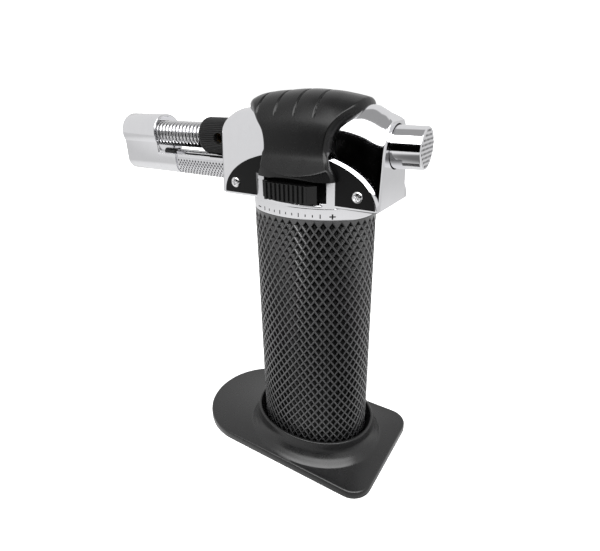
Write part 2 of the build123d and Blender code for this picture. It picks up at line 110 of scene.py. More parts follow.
def path_lengths(path):
    """Distance along path of each of its points."""
    lengths = [0.0]
    for p, q in zip(path, path[1:]):
        lengths.append(lengths[-1] + (q - p).length)
    return lengths


def spaced(path, count, closed=True):
    """count points at equal distances along the line through path. A closed path ends where it starts."""
    lengths = path_lengths(path)
    gaps = count if closed else count - 1
    found, at = [], 0
    for k in range(count):
        goal = lengths[-1] * k / gaps
        while at < len(path) - 2 and lengths[at + 1] < goal:
            at += 1
        part = (goal - lengths[at]) / max(lengths[at + 1] - lengths[at], 1e-9)
        found.append(path[at].lerp(path[at + 1], part))
    return found


def evenly(curve, count, closed=True, fine=2000):
    """count points at equal distances along curve(t), t from 0 to 1."""
    return spaced([Vector(curve(i / fine)) for i in range(fine + 1)], count, closed)


def along(points, x):
    """Height of a smooth line through (x, height) points, given in order of x."""
    if x <= points[0][0]:
        return points[0][1]
    if x >= points[-1][0]:
        return points[-1][1]
    k = next(i for i in range(len(points) - 1) if points[i + 1][0] >= x)
    (x0, y0), (x1, y1) = points[k], points[k + 1]

    def slope(i):
        a, b = points[max(i - 1, 0)], points[min(i + 1, len(points) - 1)]
        return (b[1] - a[1]) / (b[0] - a[0])

    t, width = (x - x0) / (x1 - x0), x1 - x0
    return (
        y0 * (1 + 2 * t) * (1 - t) ** 2
        + y1 * t * t * (3 - 2 * t)
        + slope(k) * width * t * (1 - t) ** 2
        - slope(k + 1) * width * t * t * (1 - t)
    )


def smooth(t):
    """0 up to t = 0, 1 from t = 1, with a smooth step between."""
    t = min(1.0, max(0.0, t))
    return t * t * (3 - 2 * t)


def smooth_path(points, count):
    """count points along a smooth line through points, in 2-D."""
    steps = 24
    dense = []
    for k in range(len(points) - 1):
        p0, p1 = Vector(points[max(k - 1, 0)]), Vector(points[k])
        p2, p3 = Vector(points[k + 1]), Vector(points[min(k + 2, len(points) - 1)])
        for s in range(steps):
            t = s / steps
            dense.append(0.5 * ((2 * p1) + (p2 - p0) * t + (2 * p0 - 5 * p1 + 4 * p2 - p3) * t * t
                                + (3 * p1 - p0 - 3 * p2 + p3) * t**3))
    dense.append(Vector(points[-1]))

    def spot(t):
        place = t * (len(dense) - 1)
        k = min(int(place), len(dense) - 1)
        return dense[k].lerp(dense[min(int(place) + 1, len(dense) - 1)], place % 1)

    return evenly(spot, count, closed=False)


def quads(rows, closed=True, caps=(False, False), loop=False):
    """Vertices and faces of a skin over rows of points. caps close its first and last row."""
    verts = [tuple(p) for row in rows for p in row]
    size = len(rows[0])
    faces = []
    pairs = [(r, r + 1) for r in range(len(rows) - 1)]
    if loop:
        pairs.append((len(rows) - 1, 0))
    for lower, upper in pairs:
        for k in range(size if closed else size - 1):
            j = (k + 1) % size
            faces.append((lower * size + k, lower * size + j, upper * size + j, upper * size + k))
    if caps[0]:
        faces.append(tuple(reversed(range(size))))
    if caps[1]:
        last = (len(rows) - 1) * size
        faces.append(tuple(range(last, last + size)))
    return verts, faces


def join(*shapes):
    """Several (vertices, faces) shapes as one."""
    verts, faces = [], []
    for some_verts, some_faces in shapes:
        start = len(verts)
        verts += some_verts
        faces += [tuple(start + i for i in face) for face in some_faces]
    return verts, faces


def prism(outline, low, high, axis):
    """A straight block: outline in the two other axes, pushed from low to high along axis."""
    rows = []
    for level in (low, high):
        if axis == "x":
            rows.append([(level, p[0], p[1]) for p in outline])
        elif axis == "y":
            rows.append([(p[0], level, p[1]) for p in outline])
        else:
            rows.append([(p[0], p[1], level) for p in outline])
    return quads(rows, caps=(True, True))


def box(x0, x1, y0, y1, z0, z1):
    """A block between two corners."""
    return prism([(x0, y0), (x1, y0), (x1, y1), (x0, y1)], z0, z1, "z")


def circle(radius, steps, x=0.0, y=0.0):
    """A round outline about (x, y)."""
    angles = [2 * math.pi * k / steps for k in range(steps)]
    return [(x + radius * math.cos(a), y + radius * math.sin(a)) for a in angles]


def turned(profile, steps=96, closed=False, y=0.0, z=AXIS_Z):
    """A turned body: (x, radius) points swept round a line along X."""
    rows = []
    for x, radius in profile:
        angles = [2 * math.pi * k / steps for k in range(steps)]
        rows.append([(x, y + radius * math.sin(a), z + radius * math.cos(a)) for a in angles])
    ends = (not closed, not closed)
    return quads(rows, caps=ends, loop=closed)


def rounded(points, radii, steps=6):
    """A closed outline with each corner rounded by its radius."""
    outline = []
    for k, corner in enumerate(points):
        p, q, r = Vector(points[k - 1]), Vector(corner), Vector(points[(k + 1) % len(points)])
        radius = radii[k] if hasattr(radii, "__len__") else radii
        if radius <= 0:
            outline.append(tuple(q))
            continue
        into, out = (p - q).normalized(), (r - q).normalized()
        half = into.angle(out) / 2
        centre = q + (into + out).normalized() * (radius / math.sin(half))
        first = q + into * (radius / math.tan(half)) - centre
        last = q + out * (radius / math.tan(half)) - centre
        sweep = first.angle_signed(last)
        for s in range(steps + 1):
            turn = Matrix.Rotation(-sweep * s / steps, 2)
            outline.append(tuple(centre + turn @ first))
    return outline


def piece(name, shape, finish, body, stands_for=(), bevel=0.0, sharp=35.0, segments=3,
          second=None):
    """A new piece in millimetres, riding on a CAD body. The slot is called as the finish unless it is given.
    second is another finish and the faces it is on."""
    verts, faces = shape
    mesh = bpy.data.meshes.new(name)
    mesh.from_pydata([Vector(v) * MM for v in verts], [], faces)
    mesh.materials.append(FINISHES[finish])
    if second:
        mesh.materials.append(FINISHES[second[0]])
        for index in second[1]:
            mesh.polygons[index].material_index = 1
    work = bmesh.new()
    work.from_mesh(mesh)
    bmesh.ops.remove_doubles(work, verts=work.verts, dist=1e-7)
    bmesh.ops.recalc_face_normals(work, faces=work.faces)
    work.to_mesh(mesh)
    work.free()
    mesh.shade_smooth()
    if not bevel:
        mesh.set_sharp_from_angle(angle=math.radians(sharp))
    obj = bpy.data.objects.new(name, mesh)
    bpy.context.scene.collection.objects.link(obj)
    if bevel:
        round_edges(obj, bevel, sharp, segments)
    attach(obj, body)
    if stands_for:
        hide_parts(*stands_for)
    return obj


def round_edges(obj, width, sharp=35.0, segments=3):
    """Rounds every edge sharper than sharp degrees."""
    modifier = obj.modifiers.new("rounded_edges", "BEVEL")
    modifier.width = width * MM
    modifier.segments = segments
    modifier.limit_method = "ANGLE"
    modifier.angle_limit = math.radians(sharp)
    modifier.harden_normals = True
    modifier.use_clamp_overlap = True


def cut(obj, *shapes):
    """Takes closed shapes out of a piece, for good."""
    for shape in shapes:
        tool_mesh = bpy.data.meshes.new("tool")
        tool_mesh.from_pydata([Vector(v) * MM for v in shape[0]], [], shape[1])
        work = bmesh.new()
        work.from_mesh(tool_mesh)
        bmesh.ops.recalc_face_normals(work, faces=work.faces)
        work.to_mesh(tool_mesh)
        work.free()
        tool = bpy.data.objects.new("tool", tool_mesh)
        bpy.context.scene.collection.objects.link(tool)
        modifier = obj.modifiers.new("cut", "BOOLEAN")
        modifier.operation = "DIFFERENCE"
        modifier.solver = "EXACT"
        modifier.object = tool
        bpy.context.view_layer.update()
        depsgraph = bpy.context.evaluated_depsgraph_get()
        result = bpy.data.meshes.new_from_object(obj.evaluated_get(depsgraph))
        obj.modifiers.remove(modifier)
        obj.data = result
        bpy.data.objects.remove(tool)


def finish_cut(obj, sharp):
    """Smooth shading again after a cut, with edges over sharp degrees kept."""
    obj.data.shade_smooth()
    obj.data.set_sharp_from_angle(angle=math.radians(sharp))


# ---- materials ----

def node_material(name, color, roughness, metallic=0.0):
    """A Principled material with object coordinates in metres, ready for detail."""
    made = bpy.data.materials.new(name)
    made.use_nodes = True
    shader = made.node_tree.nodes["Principled BSDF"]
    shader.inputs["Base Color"].default_value = (*color, 1)
    shader.inputs["Roughness"].default_value = roughness
    shader.inputs["Metallic"].default_value = metallic
    where = made.node_tree.nodes.new("ShaderNodeTexCoord")
    return made, shader, where


def noise(made, where, size, detail=3.0):
    """Noise whose features are about size millimetres across."""
    node = made.node_tree.nodes.new("ShaderNodeTexNoise")
    node.inputs["Scale"].default_value = 1 / (size * MM)
    node.inputs["Detail"].default_value = detail
    made.node_tree.links.new(where.outputs["Object"], node.inputs["Vector"])
    return node


def vary(made, source, low, high, socket):
    """Drives a number socket from low to high by a texture."""
    node = made.node_tree.nodes.new("ShaderNodeMapRange")
    node.inputs["From Min"].default_value = 0.3
    node.inputs["From Max"].default_value = 0.7
    node.inputs["To Min"].default_value = low
    node.inputs["To Max"].default_value = high
    made.node_tree.links.new(source.outputs[0], node.inputs["Value"])
    made.node_tree.links.new(node.outputs[0], socket)


def tint(made, shader, source, dark, light):
    """Base colour between dark and light by a texture."""
    ramp = made.node_tree.nodes.new("ShaderNodeValToRGB")
    ramp.color_ramp.elements[0].position = 0.3
    ramp.color_ramp.elements[0].color = (*dark, 1)
    ramp.color_ramp.elements[1].position = 0.7
    ramp.color_ramp.elements[1].color = (*light, 1)
    made.node_tree.links.new(source.outputs[0], ramp.inputs[0])
    made.node_tree.links.new(ramp.outputs[0], shader.inputs["Base Color"])


def bump(made, shader, source, height, strength=1.0, after=None):
    """Relief of height millimetres. after is a bump that this one adds to."""
    node = made.node_tree.nodes.new("ShaderNodeBump")
    node.inputs["Strength"].default_value = strength
    node.inputs["Distance"].default_value = height * MM
    made.node_tree.links.new(source.outputs[0], node.inputs["Height"])
    if after:
        made.node_tree.links.new(after.outputs[0], node.inputs["Normal"])
    made.node_tree.links.new(node.outputs[0], shader.inputs["Normal"])
    return node


FINISHES = {}


def plastic(name, level, roughness, grain_size=0.25, grain_height=0.01, spread=0.25, gloss=0.5, coat=0.0):
    """Adds a moulded plastic or rubber: fine grain, slightly uneven colour and shine."""
    made, shader, where = node_material(name, (level, level, level * 1.04), roughness)
    shader.inputs["Specular IOR Level"].default_value = gloss
    shader.inputs["Coat Weight"].default_value = coat
    shader.inputs["Coat Roughness"].default_value = roughness * 0.8
    clouds = noise(made, where, 6.0)
    grain = noise(made, where, grain_size, 2.0)
    dark, light = level * (1 - spread), level * (1 + spread)
    tint(made, shader, clouds, (dark, dark, dark * 1.04), (light, light, light * 1.04))
    vary(made, clouds, roughness * 0.9, roughness * 1.1, shader.inputs["Roughness"])
    bump(made, shader, grain, grain_height)
    FINISHES[name] = made


def metal(name, color, roughness, wave_height=0.0, grain_height=0.0, grain_size=0.15):
    """Adds a plated or bare metal: faint waves in the plating, fine scratches in the shine."""
    made, shader, where = node_material(name, color, roughness, metallic=1.0)
    clouds = noise(made, where, 3.0, 4.0)
    darker = tuple(c * 0.98 for c in color)
    tint(made, shader, clouds, darker, color)
    vary(made, clouds, roughness * 0.75, roughness * 1.25, shader.inputs["Roughness"])
    waves = bump(made, shader, noise(made, where, 9.0, 1.0), wave_height)
    if grain_height:
        bump(made, shader, noise(made, where, grain_size, 2.0), grain_height, after=waves)
    FINISHES[name] = made


# Plastics: level of grey, roughness, then size and height of the grain. Metals: colour and roughness.
plastic("stand_plastic", 0.008, 0.27, 0.35, 0.006, spread=0.12, gloss=0.6)
# The handle's ridges and pits are one black plastic in two copies: the ridges' copy is lighter, a painted
# highlight, and the pits' copy darker, painted shade
plastic("grip_plastic", 0.001, 0.24, 0.20, 0.003, spread=0.15, gloss=0.3)
plastic("grip_ridge_painted_highlight", 0.032, 0.22, 0.20, 0.003, spread=0.15, gloss=1.0, coat=0.5)
plastic("soft_grip", 0.003, 0.27, 0.30, 0.006, spread=0.15, gloss=0.4)
plastic("panel_plastic", 0.004, 0.30, 0.18, 0.006, spread=0.15, gloss=0.2)
plastic("slider_plastic", 0.003, 0.26, 0.20, 0.004, spread=0.15, gloss=0.4)
plastic("ring_plastic", 0.008, 0.40, 0.20, 0.006, spread=0.15, gloss=0.4)
metal("chrome", (0.86, 0.86, 0.88), 0.07, wave_height=0.015)
metal("chrome_knurl", (0.80, 0.80, 0.82), 0.14, wave_height=0.01)
# Dark copy of the plating: painted shade, laid inside the guard's trough and in the knurl's pits where shade
# falls
metal("guard_painted_shade", (0.06, 0.06, 0.065), 0.45, grain_height=0.004)
metal("screw_steel", (0.82, 0.82, 0.83), 0.16, grain_height=0.003)
metal("spring_steel", (0.55, 0.55, 0.56), 0.28, grain_height=0.002)
metal("burner_steel", (0.58, 0.58, 0.60), 0.24, wave_height=0.01, grain_height=0.002)
metal("coil_steel", (0.78, 0.78, 0.79), 0.14, grain_height=0.001)
metal("brass", (0.40, 0.29, 0.13), 0.35, grain_height=0.003)
plastic("tank_nylon", 0.30, 0.45, 0.30, 0.01)
plastic("inner_plastic", 0.05, 0.45, 0.25, 0.01)
plastic("white_plastic", 0.62, 0.40, 0.25, 0.01, spread=0.05)
plastic("seal_rubber", 0.03, 0.60, 0.20, 0.01)
plastic("hose_rubber", 0.05, 0.55, 0.20, 0.01)
plastic("lead_insulation", 0.08, 0.45, 0.20, 0.005)
plastic("black_ceramic", 0.012, 0.30, 0.15, 0.004)

# The CAD pieces that stay in view take their finish by the name of their material.
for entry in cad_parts.values():
    for index, old in enumerate(entry.data.materials):
        if old.name.split(".")[0] in FINISHES:
            entry.data.materials[index] = FINISHES[old.name.split(".")[0]]


# ---- stand ----

def make_stand():
    """One moulding: plate, round in front, and an oval collar with a socket for the handle."""
    half, nose_x, rear_x, corner = STAND_HI.y, STAND_LO.x + STAND_HI.y, STAND_HI.x, 8.5
    thickness, edge, count = 4.24, 1.0, 240
    socket_a, socket_b, socket_power, socket_floor = 25.8, 19.7, 2.08, 3.0
    wall, lead_in = 3.3, 2.0
    # Outside of the collar: distance out from the socket and height, down to the plate
    skirt = [(wall, 13.9), (wall, 11.4), (3.4, 10.4), (3.7, 9.4), (4.3, 8.3), (5.0, 7.2), (5.8, 6.2),
             (6.5, 5.35), (7.1, 4.7), (7.7, thickness)]

    def outline(inset):
        rows = []
        for s in range(61):
            angle = math.pi / 2 + math.pi * s / 60
            rows.append((nose_x + (half - inset) * math.cos(angle), (half - inset) * math.sin(angle)))
        for sign, start in ((-1, -math.pi / 2), (1, 0.0)):
            centre_x, centre_y = rear_x - corner, sign * (half - corner)
            for s in range(13):
                angle = start + math.pi / 2 * s / 12
                reach = corner - inset
                rows.append((centre_x + reach * math.cos(angle), centre_y + reach * math.sin(angle)))
        return rows

    def plate_ring(inset, z):
        base = [Vector(p) for p in outline(inset)]
        return [(p.x, p.y, z) for p in spaced(base + base[:1], count)]

    directions = [math.atan2(y / socket_b, x / socket_a) for x, y, z in plate_ring(0.0, 0.0)]

    def oval_ring(out, z):
        a, b = socket_a + out, socket_b + out
        return [(*power_oval(a, b, angle, socket_power), z) for angle in directions]

    rim = STAND_HI.z
    rows = [oval_ring(-6.0, socket_floor), oval_ring(0.0, socket_floor), oval_ring(0.0, rim - 4.5),
            oval_ring(lead_in, rim - 0.8)]
    for s in range(1, 7):
        angle = math.pi * s / 7
        out = (wall + lead_in) / 2 - (wall - lead_in) / 2 * math.cos(angle)
        rows.append(oval_ring(out, rim - 0.45 + 0.45 * math.sin(angle)))
    for out, z in smooth_path(skirt, 26):
        rows.append(oval_ring(out, z))
    for s in range(6):
        angle = math.pi / 2 * s / 5
        rows.append(plate_ring(edge - edge * math.sin(angle), thickness - edge + edge * math.cos(angle)))
    rows.append(plate_ring(0.0, 0.5))
    rows.append(plate_ring(0.5, 0.0))
    shape = quads(rows, caps=(True, True))
    piece("stand_moulding", shape, "stand_plastic", "stand", ["stand"], sharp=50)


# ---- diamond relief ----

def diamonds(place, columns, rows, wrap, profile):
    """Four-sided cells on a staggered lattice. place(column, row, level) gives a lattice point, level 0
    at the bottom of the relief and 1 at its top. profile gives the level at shares of the way from a
    cell's edge to its middle; columns is even where the skin wraps round. Also lists the pits' faces."""
    verts, faces, pits, index = [], [], [], {}
    edge_level = profile[0][1]

    def corner(column, row):
        key = (column % columns if wrap else column, row)
        if key not in index:
            index[key] = len(verts)
            verts.append(tuple(place(*key, edge_level)))
        return index[key]

    last = columns if wrap else columns + 1
    for row in range(rows + 1):
        for column in range(row % 2, last, 2):
            sides = [(column + 1, row), (column, row + 1), (column - 1, row), (column, row - 1)]
            inside = [0 <= r <= rows and (wrap or 0 <= c <= columns) for c, r in sides]
            if not all(inside):
                for k in range(4):
                    if inside[k] and inside[(k + 1) % 4]:
                        faces.append((corner(column, row), corner(*sides[k]), corner(*sides[(k + 1) % 4])))
                continue
            ring = [corner(c, r) for c, r in sides]
            for share, level in profile[1:]:
                middle = Vector(place(column, row, level))
                inner = []
                for c, r in sides:
                    inner.append(len(verts))
                    spot = Vector(place(c % columns if wrap else c, r, level))
                    verts.append(tuple(spot.lerp(middle, share)))
                for k in range(4):
                    j = (k + 1) % 4
                    if level < 0.5:
                        pits.append(len(faces))
                    faces.append((ring[k], ring[j], inner[j], inner[k]))
                ring = inner
            pits.append(len(faces))
            faces.append(tuple(ring))
    return (verts, faces), pits


# ---- handle ----

def make_grip():
    """Net of rounded ridges with diamond pits between them."""
    slots, row_count, depth, border, wall = 86, 48, 0.95, 0.15, 1.8
    top_a, top_b = 25.0, 19.0
    z0, z1 = GRIP_LO.z, GRIP_HI.z
    step = (z1 - z0 - 2 * border) / row_count

    def ring(z, inset):
        swell = (z1 - z) / (z1 - z0)
        a = top_a + (GRIP_HI.x - top_a) * swell - inset
        b = top_b + (GRIP_HI.y - top_b) * swell - inset
        return [(p.x, p.y, z) for p in evenly(lambda t: power_oval(a, b, 2 * math.pi * t), slots)]

    levels = [z0 + border + step * k for k in range(row_count + 1)]
    pits = [ring(z, depth) for z in levels]
    tops = [ring(z, 0.0) for z in levels]

    def place(column, row, level):
        return Vector(pits[row][column]).lerp(Vector(tops[row][column]), level)

    profile = [(0.0, 1.0), (0.12, 0.96), (0.26, 0.76), (0.74, 0.0)]
    relief, pit_faces = diamonds(place, slots, row_count, True, profile)
    ends = []
    for z_end, z_in in ((z0, levels[0]), (z1, levels[-1])):
        ends.append(quads([ring(z_in, 0.0), ring(z_end, 0.0), ring(z_end, wall)]))
    bore = quads([ring(z0, wall), ring(z1, wall)])
    shape = join(relief, *ends, bore)
    # Ridges take the lighter copy of the black plastic (painted highlight), the pits the darker one (painted
    # shade)
    piece("grip_diamonds", shape, "grip_ridge_painted_highlight", "torch", ["grip_sleeve"], sharp=34,
          second=("grip_plastic", pit_faces))


# ---- head housing ----

def head_top(x):
    """Height of the head's crest at x."""
    if x < NOSE_X:
        return NOSE_Z + NOSE_RISE * math.sqrt(max(0.0, 1 - ((NOSE_X - x) / NOSE_REACH) ** 2))
    return along(HEAD_CREST, x)


def round_in(share):
    """How far a quarter circle has drawn in, as a share of its radius."""
    return 1 - math.sqrt(max(0.0, 1 - share**2))


def head_section(x, inset=0.0, side_steps=7, arch_steps=20, crown_steps=6):
    """Right half of the head's section at x, from the middle of its floor to its crest."""
    front = max(0.0, (HEAD_FRONT_X + FRONT_ROUND - x) / FRONT_ROUND)
    rear = max(0.0, (x - (HEAD_REAR_X - REAR_ROUND)) / REAR_ROUND)
    tuck = FRONT_ROUND * round_in(front) + REAR_ROUND * round_in(rear) + inset
    late = smooth((x - 16.0) / 15.0)                 # 0 to the middle, 1 at the rear end
    spring = SPRING_Z + (REAR_SPRING_Z - SPRING_Z) * late
    half = HEAD_HALF + 0.2 * late
    foot = HEAD_FOOT - 0.3 * late
    crest = head_top(x) - inset
    peak = (PEAK_Z - inset) + (REAR_PEAK_Z - PEAK_Z) * late - 1.6 * smooth((-18.0 - x) / 11.0)
    peak = max(crest + 0.02, peak)
    rise = peak - spring if x > NOSE_X else crest - spring + 0.02
    clip = math.asin(min(0.9999, (crest - spring) / rise))
    floor = HEAD_LO.z + inset
    points = [(0.0, floor), ((foot - tuck) * 0.5, floor)]
    for k in range(side_steps):
        t = k / side_steps
        z = floor + (spring - floor) * t
        wide = foot + (half - foot) * (z - HEAD_LO.z) / (spring - HEAD_LO.z)
        points.append((wide - tuck, z))
    for k in range(arch_steps + 1):
        angle = clip * k / arch_steps
        points.append(((half - tuck) * math.cos(angle), spring + rise * math.sin(angle)))
    edge_y = points[-1][0]
    for k in range(1, crown_steps + 1):
        points.append((edge_y * (1 - k / crown_steps), crest))
    return points


def head_ring(x, inset=0.0):
    """Whole section of the head at x."""
    half = head_section(x, inset)
    other = [(-y, z) for y, z in reversed(half[1:-1])]
    return [(x, y, z) for y, z in half + other]


def head_stations(front, rear):
    """Places along X of the head's sections, close together where its ends are rounded."""
    nose = 8.0
    xs = [front + FRONT_ROUND * (1 - math.cos(math.pi / 2 * k / 8)) for k in range(8)]
    xs += [front + FRONT_ROUND + (nose - FRONT_ROUND) * k / 8 for k in range(8)]
    middle0, middle1 = front + nose, rear - REAR_ROUND
    xs += [middle0 + (middle1 - middle0) * k / 56 for k in range(56)]
    xs += [middle1 + REAR_ROUND * math.sin(math.pi / 2 * k / 6) for k in range(7)]
    return xs


def make_head():
    """Plated shell: its skin less the hollow, the guard's and the slider's openings and the bores."""
    outer = quads([head_ring(x) for x in head_stations(HEAD_FRONT_X, HEAD_REAR_X)], caps=(True, True))
    hollow_x0, hollow_length = HEAD_FRONT_X + HEAD_WALL, HEAD_REAR_X - HEAD_FRONT_X - 2 * HEAD_WALL
    hollow_xs = [hollow_x0 + hollow_length * k / 40 for k in range(41)]
    hollow = quads([head_ring(x, HEAD_WALL) for x in hollow_xs], caps=(True, True))
    shell = piece("head_shell", outer, "chrome", "torch", sharp=28)
    x0, x1, clear = HEAD_FRONT_X - 1, HEAD_FRONT_X + 2.5, 0.35
    burner_bore, rod_bore, button_bore, neck_bore = 5.35, 1.35, 7.55, 8.5
    guard_section = guard_outline(GUARD_HALF + clear, GUARD_LO.z - clear, ARM_TOP + clear)
    slider_way = box(SLOT_X0, SLOT_X1, -30, -7.0, SLOT_Z0, SLOT_Z1)
    floor_hole = prism(circle(neck_bore, 64), HEAD_LO.z - 1, HEAD_LO.z + 2.2, "z")
    cut(shell, hollow, prism(guard_section, x0, x1, "x"),
        turned([(x0, burner_bore), (x1, burner_bore)]),
        turned([(x0, rod_bore), (x1, rod_bore)], 32, y=ROD_Y, z=ROD_Z),
        turned([(28.0, button_bore), (HEAD_REAR_X + 1, button_bore)]), slider_way, floor_hole)
    finish_cut(shell, 28)
    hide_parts("head_housing")


def half_oval(a, b, x, z, steps=72):
    """Upper half of an oval in X and Z, from its +X end over the top to its -X end."""
    angles = [math.pi * k / steps for k in range(steps + 1)]
    return [(x + a * math.cos(t), z + b * math.sin(t)) for t in angles]


def make_cheeks():
    """Raised plated cheeks with a shallow bed, and the black panels that lie in them."""
    a, b, x, z = 32.9, 18.3, -0.3, HEAD_LO.z
    rim, lip, bed, root, gap = 0.5, 0.9, 0.75, 10.9, 0.1
    for side, name in ((-1, "left"), (1, "right")):
        def ring(inset, floor, y):
            return [(p[0], side * y, p[1]) for p in half_oval(a - inset, b - floor - inset, x, z + floor)]

        rows = [ring(0, 0, root), ring(0, 0, CHEEK_Y - 0.25), ring(0.07, 0.07, CHEEK_Y - 0.07),
                ring(0.25, 0.25, CHEEK_Y), ring(rim, lip, CHEEK_Y), ring(rim, lip, CHEEK_Y - bed)]
        piece("cheek_rim_" + name, quads(rows, caps=(True, True)), "chrome", "torch", sharp=40)
        rows = [ring(rim + gap, lip + gap, CHEEK_Y - bed + 0.02), ring(rim + gap, lip + gap, CHEEK_Y - 0.15),
                ring(rim + gap + 0.15, lip + gap + 0.15, CHEEK_Y)]
        piece("panel_" + name, quads(rows, caps=(True, True)), "panel_plastic", "torch",
              ["cheek_panel_" + name], sharp=40)


def make_screws():
    """Domed screw heads with a cross recess, two on each cheek."""
    radius, dome, depth, slot_half, reach = 1.95, 0.55, 0.6, 0.27, 1.25
    rings, steps = 22, 80
    heads = []
    for side in (-1, 1):
        for x in SCREW_X:
            rows = []
            for r in [radius * k / rings for k in range(1, rings + 1)]:
                height = 0.3 + dome * math.sqrt(max(0.0, 1 - (r / (radius * 1.02)) ** 2))
                row = []
                for k in range(steps):
                    angle = 2 * math.pi * k / steps
                    turn = angle + 0.5 + x
                    near = min(abs(r * math.cos(turn)), abs(r * math.sin(turn)))
                    in_slot = 1 - smooth((near - slot_half + 0.06) / 0.12)
                    sunk = in_slot * (1 - smooth((r - reach + 0.15) / 0.3))
                    row.append((x + r * math.cos(angle), side * (CHEEK_Y + height - depth * sunk),
                                SCREW_Z + r * math.sin(angle)))
                rows.append(row)
            rows.append([(px, side * (CHEEK_Y + 0.02), pz) for px, pz in circle(radius, steps, x, SCREW_Z)])
            heads.append(quads(rows, caps=(True, True)))
    piece("cheek_screw_heads", join(*heads), "screw_steel", "torch", ["cheek_screws"], sharp=38)


# ---- neck ----

def make_neck():
    """Plated band, the two towers over it, the shelf under the slider and the raised marks."""
    a, b = COLLAR_HI.x, COLLAR_HI.y
    z0, z1, top = GRIP_HI.z, BAND_Z1, COLLAR_HI.z
    rows = []
    for inset, z in ((3.0, z0), (0.3, z0), (0.08, z0 + 0.08), (0.0, z0 + 0.3), (0.0, z0 + 0.5),
                     (0.0, z1 - 0.5), (0.0, z1 - 0.35), (0.1, z1 - 0.1), (0.4, z1), (3.0, z1)):
        ring = evenly(lambda t: power_oval(a - inset, b - inset, 2 * math.pi * t), 160)
        rows.append([(p.x, p.y, z) for p in ring])
    piece("neck_band", quads(rows, loop=True), "chrome", "torch", ["neck_collar"], sharp=50)
    for side, name in ((-1, "front"), (1, "rear")):
        outline = []
        for k in range(49):
            x = TOWER_HALF_X * (1 - k / 24)
            outline.append((x, side * oval_reach(a, b, x)))
        outline += [(-TOWER_HALF_X, side * 12.0), (TOWER_HALF_X, side * 12.0)]
        tower = piece("neck_tower_" + name, prism(outline, z1 - 0.3, top, "z"), "chrome", "torch")
        if side < 0:
            cut(tower, box(SLOT_X0, SLOT_X1, -30, -10, SLOT_Z0, 131.0))
            finish_cut(tower, 35)
        round_edges(tower, 0.3, 50, 3)
    middle, reach = 2.0, 11.5
    shelf = []
    for k in range(41):
        x = middle + reach * (k / 20 - 1)
        shelf.append((x, -18.2 - 2.0 * (1 - ((x - middle) / reach) ** 2)))
    shelf += [(middle + reach, -16.5), (middle - reach, -16.5)]
    piece("slider_shelf", prism(shelf, 120.5, 121.4, "z"), "chrome", "torch", bevel=0.42, sharp=50)
    marks = []
    for k in range(MARK_COUNT):
        tall = 1.5 if k % 3 == 0 else 0.9
        marks.append(mark(a, b, -11.5 + 24.0 * k / (MARK_COUNT - 1), 0.35, tall))
    marks += [mark(a, b, -15.0, 1.9, 0.45), mark(a, b, 16.4, 1.9, 0.45), mark(a, b, 16.4, 0.45, 1.9)]
    piece("flame_scale", join(*marks), "panel_plastic", "torch", sharp=40)


def mark(a, b, x, width, tall, z=117.0):
    """A small block lying on the front of the band."""
    rows = []
    for depth in (0.3, -0.03):
        row = []
        for px in (x - width / 2, x + width / 2):
            row.append((px, -oval_reach(a - depth, b - depth, px)))
        rows.append(row)
    outline = [rows[0][0], rows[0][1], rows[1][1], rows[1][0]]
    return prism(outline, z - tall / 2, z + tall / 2, "z")


# ---- flame slider ----

def make_slider():
    """Ribbed thumb piece, and behind it the plate that closes the window, with the web and rack."""
    x0, x1, root_x = -8.0, 10.1, 12.3
    face_y, back_y, z0, z1 = SLIDER_LO.y, -18.9, SLIDER_LO.z, 128.2
    ribs, groove = 10, 0.62
    pitch = (x1 - x0) / (ribs - 0.4)
    outline = [(x0 - 0.3, back_y), (x0, face_y)]
    for k in range(ribs):
        left = x0 + pitch * k
        if k:
            outline += [(left + pitch * 0.02, face_y + 0.05), (left + pitch * 0.18, face_y)]
        outline += [(left + pitch * 0.50, face_y)]
        if k < ribs - 1:
            outline += [(left + pitch * 0.62, face_y + groove), (left + pitch * 0.92, face_y + groove)]
    outline += [(x1, face_y), (root_x, back_y)]
    pad = prism(outline, z0, z1, "z")
    plate_y, web_y, rack_y = -14.9, -8.6, -7.3
    plate = box(-10.8, 11.0, back_y - 0.05, plate_y, z0, z1)
    web = box(-4.0, 4.0, plate_y - 0.1, web_y, 122.3, 126.5)
    rack = box(-9.7, 6.6, web_y - 0.1, rack_y, 122.0, 124.3)
    piece("slider_knob", pad, "slider_plastic", "slider", ["flame_slider"], bevel=0.09, sharp=30, segments=2)
    piece("slider_plate", join(plate, web, rack), "slider_plastic", "slider", ["flame_slider"], bevel=0.15)


# ---- saddle ----

# Half section: distance from the middle plane and height, from the lip to the crest
SADDLE_SECTION = [
    (19.2, 129.3), (20.0, 129.8), (20.2, 130.5), (19.8, 131.3), (19.0, 132.2), (18.0, 133.4), (17.0, 134.7),
    (16.1, 136.1), (15.5, 137.7), (15.1, 139.6), (14.7, 142.5), (14.2, 145.6), (13.3, 148.9), (11.9, 151.9),
    (9.8, 154.6), (7.0, 156.7), (3.6, 158.0), (0.0, 158.4),
]
# Front and rear edges: height and x
SADDLE_FRONT = [
    (129.0, -14.9), (130.5, -14.7), (132.4, -13.6), (136.6, -13.4), (139.5, -13.5), (142.5, -13.9),
    (145.6, -15.0), (148.9, -17.5), (151.9, -19.8), (154.6, -22.2), (156.7, -25.0), (158.4, -27.6),
]
SADDLE_REAR = [
    (129.0, 17.9), (130.5, 17.8), (132.4, 17.0), (134.3, 15.6), (136.6, 14.3), (139.5, 13.6), (142.5, 13.7),
    (145.6, 14.4), (148.9, 16.0), (151.9, 18.2), (154.6, 20.5), (156.7, 22.0), (158.4, 22.7),
]
# Crest: x and height
SADDLE_CREST = [
    (-28.6, 151.6), (-26.8, 153.9), (-24.3, 155.6), (-19.4, 157.2), (-10.3, 158.0), (0.5, 158.38),
    (10.5, 157.7), (18.2, 156.4), (21.9, 155.4), (24.2, 154.0),
]
GROOVE_X = (-17.1, -8.9, -0.6, 7.5)
GROOVE_PITCH = 8.2


